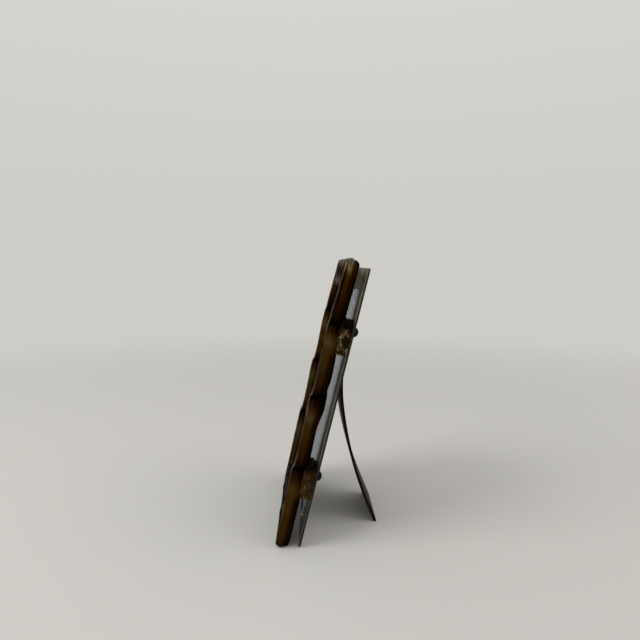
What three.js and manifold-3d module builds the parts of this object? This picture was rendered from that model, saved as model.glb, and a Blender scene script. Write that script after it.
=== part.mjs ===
// A free-standing metal picture frame: a cast brass front of ten pinched lobes, four brazed lugs, a steel back
// plate held by four round-head screws, a thin pane with a print behind it, and a bent leaf riveted on as a strut.
// Millimetres, +Z up, the front faces -Y. Everything but the ground is drawn in the leaning frame, where x runs
// across, z runs up the back plate and y runs backwards from the back plate's rear face.
import * as THREE from "three";
import { mergeVertices } from "three/addons/utils/BufferGeometryUtils.js";
import Module from "manifold-3d";

const wasm = await Module();
wasm.setup();

// Driving dimensions
const LEAN = THREE.MathUtils.degToRad(13.8);
const JOINT_GAP = 0.3; // between pieces that are fastened face to face

const PLATE_WIDTH = 100;
const PLATE_HEIGHT = 150;
const PLATE_THICKNESS = 1;
const PLATE_CORNER = 2.5;

const CAST_LAP = 1; // beyond the plate at each side
const CAST_RISE = 3.3; // above the plate's top edge
const CAST_THICKNESS = 8.2;
const CAST_STANDOFF = 5; // clear space between the casting and the plate
const CAST_CORNER = 10; // radius of the bars' centre line
const CORNER_SQUARENESS = 7; // 2 would round the outer corners off as circles
const BAR_WIDTH = 16.5;
const NECK_OUTER = 4.2; // depth of a neck's outer notch
const NECK_INNER = 2.6;
const NECK_DIP = 0.5; // how far a neck sinks below the lobes' front
const LOW_NECKS = { left: 48.5, right: 40 }; // heights of the side bars' lowest necks
const HIGH_NECK = 31.4; // the side bars' highest necks, below the plate's top edge
const RAIL_NECK = 18; // the rails' two necks, from the middle
const SHINGLE = 1.5; // each side lobe leans forward by this much from its foot to its head
const TOP_LEAN = 1.3; // the topmost lobes lean back by this much from their feet to their heads
const HOLLOW = 1.1; // depth of the oval hollow in a lobe's front
const HOLLOW_FLOOR = 0.5; // share of the hollow's width that its floor takes
const RIM_WIDTH = 1.6; // of the polished rim round a hollow
const LOBE_SQUARENESS = 4; // how flat a lobe's flanks run between its necks
const NECK_SHARPNESS = 0.6; // below 1 the notch is a sharp one
const BACK_ROUND = 3;
const FRONT_ROUND = 0.9;
const TOE_SINK = 0.6; // how far the casting's foot is filed away at the ground

const PANE_MARGIN = 12; // from the plate's edge to the pane's
const PANE_THICKNESS = 1;
const PANE_CORNER = 1;
const PRINT_INSET = 1; // at each side of the pane
const PRINT_THICKNESS = 0.3;
const PRINT_PLAY = 0.3; // in front of and behind the print

const LUG_LENGTH = 18.6;
const LUG_INSET = 0.5; // from the plate's edge to a lug's outer face
const LUG_TOE = 3; // how far a lug laps over the pane
const LUG_CORNER = 1.2;
const LUG_DROPS = { upper: 3.6, lower: 3 }; // of a lug's middle below its screw
const PANE_CLEARANCE = 0.4;

const SCREW_INSET = 6; // from the plate's side edge
const UPPER_SCREW_DROP = 33.5; // from the plate's top edge
const LOWER_SCREW_RISE = 38; // from the plate's bottom edge
const SCREW_SHANK = 3;
const SCREW_HEAD = 5.3;
const SCREW_HEAD_HEIGHT = 2.1;
const SCREW_SLOT = 0.8;
const SCREW_SLOT_DEPTH = 1;
const SCREW_CLEARANCE = 0.3;
const SCREW_END = 0.7; // between a screw's tip and the casting

const STRUT_THICKNESS = 1.5;
const STRUT_ROOT_WIDTH = 30;
const STRUT_FOOT_WIDTH = 42;
const STRUT_FLANGE = 22;
const STRUT_BEND_HEIGHT = 104; // where the leaf leaves the plate
const UPPER_BEND_RADIUS = 95;
const UPPER_BEND_TURN = THREE.MathUtils.degToRad(20);
const LOWER_BEND_RADIUS = 210;
const LOWER_BEND_TURN = THREE.MathUtils.degToRad(16);

const RIVET_SHANK = 3;
const RIVET_HEAD = 5;
const RIVET_HEAD_HEIGHT = 1.5;
const RIVET_CLEARANCE = 0.3;
const RIVET_OFFSET = 9; // from the middle to a rivet
const RIVET_SINK = 0.2; // the rivet's front end lies below the plate's face

// Fineness of the facets
const ROUND_SIDES = 20;
const DOME_STEPS = 4;
const BEND_STEPS = 8;
const LOBE_STEPS = 16;

// Derived sizes across and up the plate
const PANE_WIDTH = PLATE_WIDTH - 2 * PANE_MARGIN;
const PANE_HEIGHT = PLATE_HEIGHT - 2 * PANE_MARGIN;
const LUG_OUTER = PLATE_WIDTH / 2 - LUG_INSET;
const SCREW_OFFSET = PLATE_WIDTH / 2 - SCREW_INSET;
const SCREW_HEIGHTS = { upper: PLATE_HEIGHT - UPPER_SCREW_DROP, lower: LOWER_SCREW_RISE };
const RIVET_HEIGHT = STRUT_BEND_HEIGHT + STRUT_FLANGE / 2;
const SIDES = { left: -1, right: 1 };

// Derived depths, all measured backwards from the plate's rear face
const PLATE_FRONT = -PLATE_THICKNESS;
const PRINT_BACK = PLATE_FRONT - PRINT_PLAY;
const PANE_BACK = PRINT_BACK - PRINT_THICKNESS - PRINT_PLAY;
const PANE_FRONT = PANE_BACK - PANE_THICKNESS;
const CAST_BACK = PLATE_FRONT - CAST_STANDOFF;
const CAST_FRONT = CAST_BACK - CAST_THICKNESS;
const STRUT_BACK = JOINT_GAP + STRUT_THICKNESS;
const CAST_WIDTH = PLATE_WIDTH + 2 * CAST_LAP;
const CAST_TOP = PLATE_HEIGHT + CAST_RISE;
const CAST_BOTTOM = CAST_FRONT * Math.tan(LEAN) - TOE_SINK;

const brass = new THREE.MeshStandardMaterial({ color: 0x6b5128, roughness: 0.45, metalness: 0.9 });
const braze = new THREE.MeshStandardMaterial({ color: 0x8a7440, roughness: 0.7, metalness: 0.7 });
const steel = new THREE.MeshStandardMaterial({ color: 0x6f6a62, roughness: 0.5, metalness: 0.8 });
const blackSteel = new THREE.MeshStandardMaterial({ color: 0x17171a, roughness: 0.45, metalness: 0.7 });
const glass = new THREE.MeshStandardMaterial({ color: 0xc9d2da, roughness: 0.05, metalness: 0 });
const paper = new THREE.MeshStandardMaterial({ color: 0xe6e2d8, roughness: 0.9, metalness: 0 });

function bareGeometry(geometry) {
  const bare = geometry.clone();
  bare.deleteAttribute("normal");
  bare.deleteAttribute("uv");
  return mergeVertices(bare, 1e-4);
}

function toSolid(geometry) {
  const bare = bareGeometry(geometry);
  const vertProperties = new Float32Array(bare.attributes.position.array);
  const triVerts = new Uint32Array(bare.index.array);
  return new wasm.Manifold(new wasm.Mesh({ numProp: 3, vertProperties, triVerts }));
}

function toGeometry(solid) {
  const mesh = solid.getMesh();
  const geometry = new THREE.BufferGeometry();
  geometry.setAttribute("position", new THREE.BufferAttribute(mesh.vertProperties, 3));
  geometry.setIndex(new THREE.BufferAttribute(mesh.triVerts, 1));
  geometry.computeVertexNormals();
  return geometry;
}

function cut(geometry, cutters) {
  return toGeometry(cutters.reduce((solid, cutter) => solid.subtract(toSolid(cutter)), toSolid(geometry)));
}

// A closed skin over rings of points, where each ring closes on itself. A loop of rings closes too, and an open row
// of rings gets a flat fan over each end.
function ringSkin(rings, isLoop) {
  const count = rings[0].length;
  const faces = [];
  const spans = isLoop ? rings.length : rings.length - 1;
  for (let i = 0; i < spans; i++) {
    const here = i * count;
    const next = ((i + 1) % rings.length) * count;
    for (let j = 0; j < count; j++) {
      const k = (j + 1) % count;
      faces.push(here + j, next + k, next + j, here + j, here + k, next + k);
    }
  }
  if (!isLoop) {
    const last = (rings.length - 1) * count;
    for (let j = 1; j < count - 1; j++) {
      faces.push(0, j + 1, j);
      faces.push(last, last + j, last + j + 1);
    }
  }
  const geometry = new THREE.BufferGeometry().setFromPoints(rings.flat());
  geometry.setIndex(faces);
  geometry.computeVertexNormals();
  return geometry;
}

function roundedRectangle(width, low, high, radius) {
  const half = width / 2;
  const shape = new THREE.Shape();
  shape.absarc(half - radius, high - radius, radius, 0, Math.PI / 2);
  shape.absarc(-half + radius, high - radius, radius, Math.PI / 2, Math.PI);
  shape.absarc(-half + radius, low + radius, radius, Math.PI, 1.5 * Math.PI);
  shape.absarc(half - radius, low + radius, radius, 1.5 * Math.PI, 2 * Math.PI);
  shape.closePath();
  return shape;
}

// A flat sheet whose outline is drawn in x and z, from depth back to depth front.
function sheet(shape, back, front, curveSegments = 6) {
  const geometry = new THREE.ExtrudeGeometry(shape, { depth: back - front, bevelEnabled: false, curveSegments });
  geometry.rotateX(Math.PI / 2);
  geometry.translate(0, back, 0);
  return geometry;
}

// A drill along y, long enough to pass through every piece.
function drill(diameter, x, z) {
  const reach = 4 * (STRUT_BACK - CAST_FRONT);
  const geometry = new THREE.CylinderGeometry(diameter / 2, diameter / 2, reach, ROUND_SIDES);
  geometry.translate(x, 0, z);
  return geometry;
}

// The ground as a thick slab in the leaning frame, to file the feet level.
function groundSlab() {
  const reach = 4 * PLATE_HEIGHT;
  const slab = new THREE.BoxGeometry(reach, reach, reach);
  slab.translate(0, 0, -reach / 2);
  slab.rotateX(LEAN);
  return slab;
}

const screwSpots = [];
for (const [level, z] of Object.entries(SCREW_HEIGHTS)) {
  for (const [side, sign] of Object.entries(SIDES)) {
    screwSpots.push({ name: `${level}_${side}`, sign, x: sign * SCREW_OFFSET, z, lugHeight: z - LUG_DROPS[level] });
  }
}
const rivetSpots = Object.entries(SIDES).map(([side, sign]) => ({ side, x: sign * RIVET_OFFSET }));

// The casting's centre line, from the right side's top round by the top rail, the left side and the bottom rail.
const LINE_X = (CAST_WIDTH - BAR_WIDTH) / 2;
const LINE_LOW = CAST_BOTTOM + BAR_WIDTH / 2;
const LINE_HIGH = CAST_TOP - BAR_WIDTH / 2;
const CORNER_RUN = (CAST_CORNER * Math.PI) / 2;
const RAIL_RUN = 2 * (LINE_X - CAST_CORNER);
const SIDE_RUN = LINE_HIGH - LINE_LOW - 2 * CAST_CORNER;

// The heights of a side bar's three evenly spaced necks, from the lowest.
function sideNecks(side) {
  const low = LOW_NECKS[side];
  const high = PLATE_HEIGHT - HIGH_NECK;
  return [low, (low + high) / 2, high];
}

// Where the ten necks lie along the centre line, in its order.
function neckPlaces() {
  const topRail = CORNER_RUN + RAIL_RUN / 2;
  const leftTop = 2 * CORNER_RUN + RAIL_RUN + LINE_HIGH - CAST_CORNER;
  const bottomRail = 3 * CORNER_RUN + RAIL_RUN + SIDE_RUN + RAIL_RUN / 2;
  const rightBottom = 4 * CORNER_RUN + 2 * RAIL_RUN + SIDE_RUN - LINE_LOW - CAST_CORNER;
  return [
    topRail - RAIL_NECK,
    topRail + RAIL_NECK,
    ...sideNecks("left").reverse().map((height) => leftTop - height),
    bottomRail - RAIL_NECK,
    bottomRail + RAIL_NECK,
    ...sideNecks("right").map((height) => rightBottom + height),
  ];
}

// How far up its side lobe a height lies, from 0 at the lobe's foot to 1 at its head.
function riseInLobe(side, height) {
  const marks = [CAST_BOTTOM, ...sideNecks(side), CAST_TOP];
  const lobe = marks.findLastIndex((mark, i) => i < marks.length - 1 && mark <= height);
  return (height - marks[lobe]) / (marks[lobe + 1] - marks[lobe]);
}

// How far a full bar reaches from its centre line: further on the outside of a corner.
function outerReach(out) {
  const spread = Math.abs(out.x) ** CORNER_SQUARENESS + Math.abs(out.y) ** CORNER_SQUARENESS;
  return (CAST_CORNER + BAR_WIDTH / 2) / spread ** (1 / CORNER_SQUARENESS) - CAST_CORNER;
}

// A bar's section where its lobe is filled to a share and its front is set back: across the bar, outwards first, and
// in depth.
function barSection(fill, setBack, reach) {
  const outer = reach - NECK_OUTER * (1 - fill);
  const inner = BAR_WIDTH / 2 - NECK_INNER * (1 - fill);
  const front = CAST_FRONT + NECK_DIP * (1 - fill) + setBack * fill;
  const waist = CAST_BACK - BACK_ROUND;
  const corner = 1 - Math.SQRT1_2;
  const floor = front + HOLLOW * fill;
  const edge = (half, sign) => [
    [sign * (half - FRONT_ROUND), front],
    [sign * (half - FRONT_ROUND * corner), front + FRONT_ROUND * corner],
    [sign * half, front + FRONT_ROUND],
    [sign * half, waist],
    [sign * (half - BACK_ROUND * corner), CAST_BACK - BACK_ROUND * corner],
    [sign * (half - BACK_ROUND), CAST_BACK],
  ];
  const rim = (half) => half - FRONT_ROUND - RIM_WIDTH;
  const hollow = [
    [-rim(inner), front],
    [-rim(inner) * HOLLOW_FLOOR, floor],
    [rim(outer) * HOLLOW_FLOOR, floor],
    [rim(outer), front],
  ];
  return [...edge(outer, 1), ...edge(inner, -1).reverse(), ...hollow];
}

// A section's point in the leaning frame, from its place on the centre line and the outward direction there.
function outwards(point, out, across, depth) {
  return new THREE.Vector3(point.x + out.x * across, depth, point.y + out.y * across);
}

function castingGeometry() {
  const line = roundedRectangle(2 * LINE_X, LINE_LOW, LINE_HIGH, CAST_CORNER);
  const around = 4 * CORNER_RUN + 2 * RAIL_RUN + 2 * SIDE_RUN;
  const necks = neckPlaces();
  const rings = [];
  necks.forEach((start, i) => {
    const end = i + 1 < necks.length ? necks[i + 1] : necks[0] + around;
    for (let step = 0; step < LOBE_STEPS; step++) {
      const even = step / LOBE_STEPS;
      const place = (even + (1 - Math.cos(Math.PI * even)) / 2) / 2;
      const fill = Math.pow(1 - Math.pow(Math.abs(2 * place - 1), LOBE_SQUARENESS), NECK_SHARPNESS);
      const share = ((start + place * (end - start)) / around) % 1;
      const point = line.getPointAt(share);
      const tangent = line.getTangentAt(share);
      const out = new THREE.Vector2(tangent.y, -tangent.x);
      const rise = riseInLobe(point.x < 0 ? "left" : "right", point.y);
      const isTop = point.y > PLATE_HEIGHT - HIGH_NECK;
      const section = barSection(fill, isTop ? SHINGLE / 2 : SHINGLE * (1 - rise), outerReach(out));
      const lean = isTop ? TOP_LEAN * rise ** 2 : 0;
      rings.push(section.map(([across, depth]) => outwards(point, out, across, depth + lean)));
    }
  });
  return cut(ringSkin(rings, true), [groundSlab()]);
}

function plateGeometry() {
  const outline = roundedRectangle(PLATE_WIDTH, 0, PLATE_HEIGHT, PLATE_CORNER);
  const plate = sheet(outline, 0, PLATE_FRONT);
  const screwHoles = screwSpots.map(({ x, z }) => drill(SCREW_SHANK + 2 * SCREW_CLEARANCE, x, z));
  const rivetHoles = rivetSpots.map(({ x }) => drill(RIVET_SHANK + 2 * RIVET_CLEARANCE, x, RIVET_HEIGHT));
  return cut(plate, [...screwHoles, ...rivetHoles]);
}

function paneGeometry() {
  const low = (PLATE_HEIGHT - PANE_HEIGHT) / 2;
  return sheet(roundedRectangle(PANE_WIDTH, low, low + PANE_HEIGHT, PANE_CORNER), PANE_BACK, PANE_FRONT);
}

function printGeometry() {
  const low = (PLATE_HEIGHT - PANE_HEIGHT) / 2;
  const width = PANE_WIDTH - 2 * PRINT_INSET;
  const outline = roundedRectangle(width, low, low + PANE_HEIGHT, PANE_CORNER);
  return sheet(outline, PRINT_BACK, PRINT_BACK - PRINT_THICKNESS);
}

// A block with a rebate that laps over the pane's edge, and the hole for its screw.
function lugGeometry({ sign, x, z, lugHeight }) {
  const paneEdge = PANE_WIDTH / 2;
  const width = LUG_OUTER - paneEdge + LUG_TOE;
  const outline = roundedRectangle(width, lugHeight - LUG_LENGTH / 2, lugHeight + LUG_LENGTH / 2, LUG_CORNER);
  const lug = sheet(outline, PLATE_FRONT - JOINT_GAP, CAST_BACK + JOINT_GAP);
  lug.translate(sign * (LUG_OUTER - width / 2), 0, 0);
  const rebate = new THREE.BoxGeometry(2 * (paneEdge + PANE_CLEARANCE), -PANE_FRONT + PANE_CLEARANCE, PANE_HEIGHT);
  rebate.translate(0, (PANE_FRONT - PANE_CLEARANCE) / 2, lugHeight);
  return cut(lug, [rebate, drill(SCREW_SHANK + 2 * SCREW_CLEARANCE, x, z)]);
}

// A domed head on a shank that points forwards, turned about the y axis.
function headedPin(headDiameter, headHeight, shankDiameter, shankLength) {
  const radius = headDiameter / 2;
  const profile = [new THREE.Vector2(0, -shankLength), new THREE.Vector2(shankDiameter / 2, -shankLength)];
  profile.push(new THREE.Vector2(shankDiameter / 2, 0));
  for (let i = 0; i < DOME_STEPS; i++) {
    const angle = (i / DOME_STEPS) * (Math.PI / 2);
    profile.push(new THREE.Vector2(radius * Math.cos(angle), headHeight * Math.sin(angle)));
  }
  profile.push(new THREE.Vector2(0, headHeight));
  return new THREE.LatheGeometry(profile, ROUND_SIDES);
}

function screwGeometry({ x, z }) {
  const seat = JOINT_GAP;
  const screw = headedPin(SCREW_HEAD, SCREW_HEAD_HEIGHT, SCREW_SHANK, seat - CAST_BACK - SCREW_END);
  const slot = new THREE.BoxGeometry(SCREW_SLOT, 2 * SCREW_SLOT_DEPTH, 2 * SCREW_HEAD);
  slot.translate(0, SCREW_HEAD_HEIGHT, 0);
  const slotted = cut(screw, [slot]);
  slotted.translate(x, seat, z);
  return slotted;
}

function rivetGeometry({ x }) {
  const seat = STRUT_BACK + JOINT_GAP;
  const rivet = headedPin(RIVET_HEAD, RIVET_HEAD_HEIGHT, RIVET_SHANK, seat - PLATE_FRONT - RIVET_SINK);
  rivet.translate(x, seat, RIVET_HEIGHT);
  return rivet;
}

// The leaf's middle line from the flange's top down: a straight flange, two bends, and a straight tail that runs on
// past the ground.
function strutLine() {
  const depth = JOINT_GAP + STRUT_THICKNESS / 2;
  const line = [{ y: depth, z: STRUT_BEND_HEIGHT + STRUT_FLANGE, angle: 0 }];
  let end = { y: depth, z: STRUT_BEND_HEIGHT, angle: 0 };
  line.push(end);
  const bends = [
    { radius: UPPER_BEND_RADIUS, turn: UPPER_BEND_TURN },
    { radius: LOWER_BEND_RADIUS, turn: LOWER_BEND_TURN },
  ];
  for (const { radius, turn } of bends) {
    const start = end;
    for (let step = 1; step <= BEND_STEPS; step++) {
      const angle = start.angle + (turn * step) / BEND_STEPS;
      const y = start.y + radius * (Math.cos(start.angle) - Math.cos(angle));
      const z = start.z - radius * (Math.sin(angle) - Math.sin(start.angle));
      end = { y, z, angle };
      line.push(end);
    }
  }
  const height = end.z * Math.cos(LEAN) - end.y * Math.sin(LEAN);
  const tail = height / Math.cos(end.angle - LEAN) + 2 * STRUT_THICKNESS;
  line.push({ y: end.y + tail * Math.sin(end.angle), z: end.z - tail * Math.cos(end.angle), angle: end.angle });
  return line;
}

function strutGeometry() {
  const line = strutLine();
  const top = STRUT_BEND_HEIGHT + STRUT_FLANGE;
  const rings = line.map(({ y, z, angle }) => {
    const half = THREE.MathUtils.lerp(STRUT_ROOT_WIDTH, STRUT_FOOT_WIDTH, (top - z) / top) / 2;
    const across = (STRUT_THICKNESS / 2) * Math.cos(angle);
    const along = (STRUT_THICKNESS / 2) * Math.sin(angle);
    return [
      new THREE.Vector3(-half, y - across, z - along),
      new THREE.Vector3(-half, y + across, z + along),
      new THREE.Vector3(half, y + across, z + along),
      new THREE.Vector3(half, y - across, z - along),
    ];
  });
  const holes = rivetSpots.map(({ x }) => drill(RIVET_SHANK + 2 * RIVET_CLEARANCE, x, RIVET_HEIGHT));
  return cut(ringSkin(rings, false), [groundSlab(), ...holes]);
}

const part = new THREE.Group();
const leaning = new THREE.Group();
leaning.rotation.x = -LEAN;
part.add(leaning);

function addPiece(name, geometry, material) {
  const mesh = new THREE.Mesh(geometry, material);
  mesh.name = name;
  leaning.add(mesh);
}

addPiece("front_casting", castingGeometry(), brass);
addPiece("back_plate", plateGeometry(), steel);
addPiece("glass_pane", paneGeometry(), glass);
addPiece("print_card", printGeometry(), paper);
addPiece("strut_leaf", strutGeometry(), steel);
for (const spot of screwSpots) {
  addPiece(`lug_${spot.name}`, lugGeometry(spot), braze);
  addPiece(`screw_${spot.name}`, screwGeometry(spot), blackSteel);
}
for (const spot of rivetSpots) {
  addPiece(`strut_rivet_${spot.side}`, rivetGeometry(spot), steel);
}

// The origin lies on the ground, midway between the casting's toe and the strut's heel.
part.updateMatrixWorld(true);
const bounds = new THREE.Box3().setFromObject(part, true);
leaning.position.y = -(bounds.min.y + bounds.max.y) / 2;

export default part;
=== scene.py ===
"""A free-standing picture frame: cast brass on brazed lugs, with a steel back plate and a leaf strut."""
import itertools
import math

import bmesh
import bpy
import numpy as np
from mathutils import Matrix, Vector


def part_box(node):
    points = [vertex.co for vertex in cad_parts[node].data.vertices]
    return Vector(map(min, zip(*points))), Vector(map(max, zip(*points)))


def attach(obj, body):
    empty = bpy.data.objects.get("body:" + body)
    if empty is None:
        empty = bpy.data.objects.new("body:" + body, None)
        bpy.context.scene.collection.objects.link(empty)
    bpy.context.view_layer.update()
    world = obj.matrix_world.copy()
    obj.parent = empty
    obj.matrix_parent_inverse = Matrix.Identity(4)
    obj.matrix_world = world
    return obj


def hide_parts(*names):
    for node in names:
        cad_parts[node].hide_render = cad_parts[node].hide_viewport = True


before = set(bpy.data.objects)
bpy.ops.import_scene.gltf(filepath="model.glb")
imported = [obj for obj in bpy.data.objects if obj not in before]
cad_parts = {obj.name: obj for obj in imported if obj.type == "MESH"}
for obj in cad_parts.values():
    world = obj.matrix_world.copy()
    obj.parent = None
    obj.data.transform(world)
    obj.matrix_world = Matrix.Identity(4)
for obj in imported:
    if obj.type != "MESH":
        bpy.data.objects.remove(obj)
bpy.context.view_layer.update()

MM = 0.001
SIDES = {"left": -1, "right": 1}
WELD_REACH = 1e-7

# Sizes are millimetres in the leaning frame: x across, z up the back plate, y backwards from its rear face
LEAN = math.radians(13.8)
JOINT_GAP = 0.3
SEAT_GAP = 0.05
EDGE_MARGIN = 0.1

# The back plate, the heights between which its painted light at the top comes on, and where a cut edge's
# finish begins
PLATE_WIDTH = 100.0
PLATE_HEIGHT = 150.0
PLATE_THICKNESS = 1.0
PLATE_CORNER = 2.5
PLATE_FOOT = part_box("back_plate")[0][1] / MM + PLATE_THICKNESS * math.cos(LEAN)
TOP_PAINTED_LIGHT_START = 80.0
TOP_PAINTED_LIGHT_END = 150.0
TOP_PAINTED_LIGHT_BLUR = 30.0
EDGE_START = 0.06
EDGE_FULL = 0.02

# The cast front: its outline, its lobes between necks, and its section
CAST_WIDTH = 102.0
CAST_TOP = 153.3
CAST_FRONT = -14.2
CAST_BACK = -6.0
CAST_CORNER = 10.0
CORNER_SQUARENESS = 7.0
TOE_SINK = 0.6
BAR_WIDTH = 16.5
NECK_OUTER = 4.2
NECK_INNER = 2.6
NECK_DIP = 0.5
SIDE_NECKS = {"left": (48.5, 83.55, 118.6), "right": (40.0, 79.3, 118.6)}
RAIL_NECK = 18.0
LOBE_BLUNTNESS = 4
LOBE_SHOULDER = 0.6
OVAL_BLUNTNESS = 2.6
OVAL_LEAST = 0.0004
SHINGLE = 1.5
TOP_LEAN = 1.3
HOLLOW = 1.1
HOLLOW_BLUNTNESS = 3
RIM_WIDTH = 1.6
BACK_ROUND = 3.0
FRONT_ROUND = 0.9
FLANK_CROWN = 0.8
LIP_GROOVE = 0.3
GROOVE_PLACE = 0.13
GROOVE_SPREAD = 0.07
LOBE_STEPS = 72
ROUND_STEPS = 8
FLANK_STEPS = 18
FLAT_STEPS = 8
DISH_STEPS = 33

# How far the side bars' back swells, by the height over the middle neck, and how soon that dies forwards
BACK_SWELL = (
    (-35.3, 0.0), (-30.8, -0.05), (-25.3, -0.2), (-20.3, -0.37), (-14.3, -0.4), (-11.8, 0.1), (-8.3, 0.55),
    (-4.3, 0.95), (1.2, 0.85), (3.2, 0.5), (4.9, 0.05), (6.7, 0.2), (9.7, 0.55), (14.2, 0.62), (18.7, 0.35),
    (23.7, 0.05), (25.7, 0.0),
)
SWELL_FADE = 3

# Soft dents: their depth, each ripple's wave and seed, and how far from the bar's middle they are that deep
DENT = 0.12
DENT_RIPPLES = ((7.0, 3), (24.0, 8))
DENT_ACROSS = 8.0
DENT_THROUGH = 4.0

# The casting's wear, 1 where it is polished and below 0 in its grimy hollows and in its grooves, darkened
# by painted shade
RIM_POLISH = 0.62
RAIL_DULLING = 0.14
ROUND_WEAR = 0.35
GROOVE_SHADE = -0.8
HOLLOW_WEAR = -0.3
LIP_SHARPNESS = 8
TOP_GRIME_AND_SHADE = 1.5
SIDE_GRIME_AND_SHADE = 0.6
CAP_START = 0.52
CAP_RUN = 0.15
CAP_WEAR = 0.72

# How light the patina is drawn by the rise in a side lobe, a top corner and a foot: painted light, with a
# painted highlight below each head and painted shade towards the necks
SIDE_LOBE_PAINTED_LIGHT = (
    (0, 0), (0.06, 0.15), (0.2, 0.38), (0.45, 0.5), (0.62, 0.56), (0.75, 0.75), (0.83, 0.56), (0.9, 0.28),
    (0.96, 0.12), (1, 0),
)
TOP_CORNER_PAINTED_LIGHT = (
    (0, 0), (0.06, 0.1), (0.2, 0.2), (0.48, 0.36), (0.59, 0.52), (0.635, 1.0), (0.68, 0.7), (0.755, 0.3),
    (1, 0.28),
)
FOOT_LOBE_PAINTED_LIGHT = ((0, 0.38), (0.3, 0.5), (0.6, 0.58), (0.8, 0.66), (0.9, 0.4), (1, 0))
# How sharply the painted shade closes in at every neck
NECK_SHADE_SHARPNESS = 12

# The share of that painted light kept down the flank and round the back, where painted shade falls, beside
# the lugs, where less shade is painted, and in the top corners' painted shade
FLANK_PAINTED_LIGHT = ((0, 1), (0.75, 1), (1, 0.55))
BACK_PAINTED_LIGHT = (0.4, 0.1)
LUG_PAINTED_LIGHT_FADE = 2.0
LUG_PAINTED_LIGHT = 0.7
GROOVE_SHADE_PLACE = 0.05
GROOVE_SHADE_SPREAD = 0.18
CORNER_SHADE_RISE = ((0.2, 0), (0.4, 1), (0.72, 1), (0.8, 0))
GROOVE_SHADE_DARK = 0.95

# The pane, and how far its shading leans when it is seen edge-on
PANE_EDGE = 38.0
PANE_FRONT = -2.9
PANE_CLEARANCE = 0.4
PANE_HALF_HEIGHT = 63.0
PANE_TILT = 0.19

# The lugs with their rebates, crust and filler beads
LUG_MIDDLES = {"upper": 112.9, "lower": 35.0}
LUG_LENGTH = 18.6
LUG_OUTER = 49.5
LUG_TOE = 3.0
LUG_END = 1.2
LUG_DRAW = 0.22
BRAZE_FLARE = 0.9
FLARE_RUN = (0.8, 2.0)
CRUST = {"upper": 0.32, "lower": 0.16}
CRUST_WAVES = (3.2, 1.5)
FINE_CRUST = 0.6
CRUST_THROUGH = 0.3
CRUST_UP = 0.8
BEAD_SPOT = (49.3, -6.7)
BEAD_SIZE = (1.0, 1.0)
BEAD_INSET = 0.4
BEAD_BLUNTNESS = 6
BEAD_LEAST = 0.01
BEAD_WAVE = 2.6
BEAD_CRUST = (0.5, 0.4)
FIRST_SEED = 5
SEED_STEP = 10
PROFILE_STEPS = 120
PROFILE_SOFTNESS = 2
LUG_STEPS = 56
BEAD_STEPS = 24

# The screws and the rivets
SCREW_OFFSET = 44.0
SCREW_HEIGHTS = {"upper": 116.5, "lower": 38.0}
SCREW_HEAD = 5.3
SCREW_HEAD_HEIGHT = 2.1
SCREW_SHANK = 3.0
SCREW_TIP = -5.3
SCREW_SLOT = 0.8
SCREW_SLOT_DEPTH = 1.0
RIVET_OFFSET = 9.0
RIVET_HEIGHT = 115.0
RIVET_HEAD = 5.0
RIVET_HEAD_HEIGHT = 1.5
RIVET_SHANK = 3.0
RIVET_TIP = -0.8
PIN_CHAMFER = 0.3
PIN_LAP = 0.1
PIN_STEPS = 32
CHORD_STEPS = 18
SWEEP_STEPS = 33

# The strut's leaf, with the radius and the angle of each bend
STRUT_THICKNESS = 1.5
STRUT_ROOT_WIDTH = 30.0
STRUT_FOOT_WIDTH = 42.0
STRUT_TOP = 126.0
STRUT_BEND_HEIGHT = 104.0
STRUT_BENDS = ((95.0, math.radians(20)), (210.0, math.radians(16)))
STRUT_EDGE_ROUND = 0.3
STRUT_TWIST = 1.4
TWIST_RUN = 34.0
TWIST_EASE = 0.25
FLANGE_STEPS = 12
BEND_STEPS = 40
TAIL_STEPS = 15
EDGE_STEPS = 6

# Smooth noise: how many sines, the range of their waves and their gain
RIPPLE_SINES = 12
RIPPLE_RANGE = (0.6, 1.6)
RIPPLE_GAIN = 2.4

# The studio, in metres: the floor's half width, drop and fade, and each lamp's place, size and power
FLOOR_REACH = 3.0
FLOOR_DROP = 0.00005
FLOOR_FADE = (0.2, 0.9)
LAMP_TARGET = (0, 0, 0.075)
LAMPS = {"key": ((0.3, -0.65, 0.75), 0.5, 4.0), "fill": ((0.2, 0.6, 0.7), 0.6, 1.2)}

# The camera: its focal length and picture in pixels, its place from the plate's foot, and its turn
FOCAL_PIXELS = 546
PICTURE_PIXELS = 640
SENSOR_WIDTH = 36.0
CAMERA_PLACE = (322.0, 8.18, 147.98)
CAMERA_DOWN = math.radians(5.856)
CAMERA_ASIDE = math.radians(0.473)


def stand(x, y, z):
    """Leaning-frame millimetres to metres: the plane tips back about the plate's lower rear edge."""
    depth = y * math.cos(LEAN) + z * math.sin(LEAN) + PLATE_FOOT
    height = z * math.cos(LEAN) - y * math.sin(LEAN)
    return np.stack(np.broadcast_arrays(x, depth, height), axis=-1) * MM


def read_off(table, places):
    """A table of places and values, read along straight lines between its points."""
    return np.interp(places, *np.transpose(table))


def bell(places, middle, spread):
    """A bell curve of height 1: e to the power of less the square of the distance from its middle."""
    return np.exp(-((places - middle) / spread) ** 2)


def inner_steps(count):
    """Even steps between 0 and 1, with neither end."""
    return np.linspace(0, 1, count + 2)[1:-1]


def grid_faces(rows, columns, loops):
    """Quads of a grid of points whose rows close on themselves, and whose columns do too where it loops."""
    row = np.arange(rows if loops else rows - 1)[:, None] * columns
    following = (row + columns) % (rows * columns)
    column = np.arange(columns)
    beside = (column + 1) % columns
    corners = (row + column, row + beside, following + beside, following + column)
    return np.stack(corners, axis=-1).reshape(-1, 4)


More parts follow.
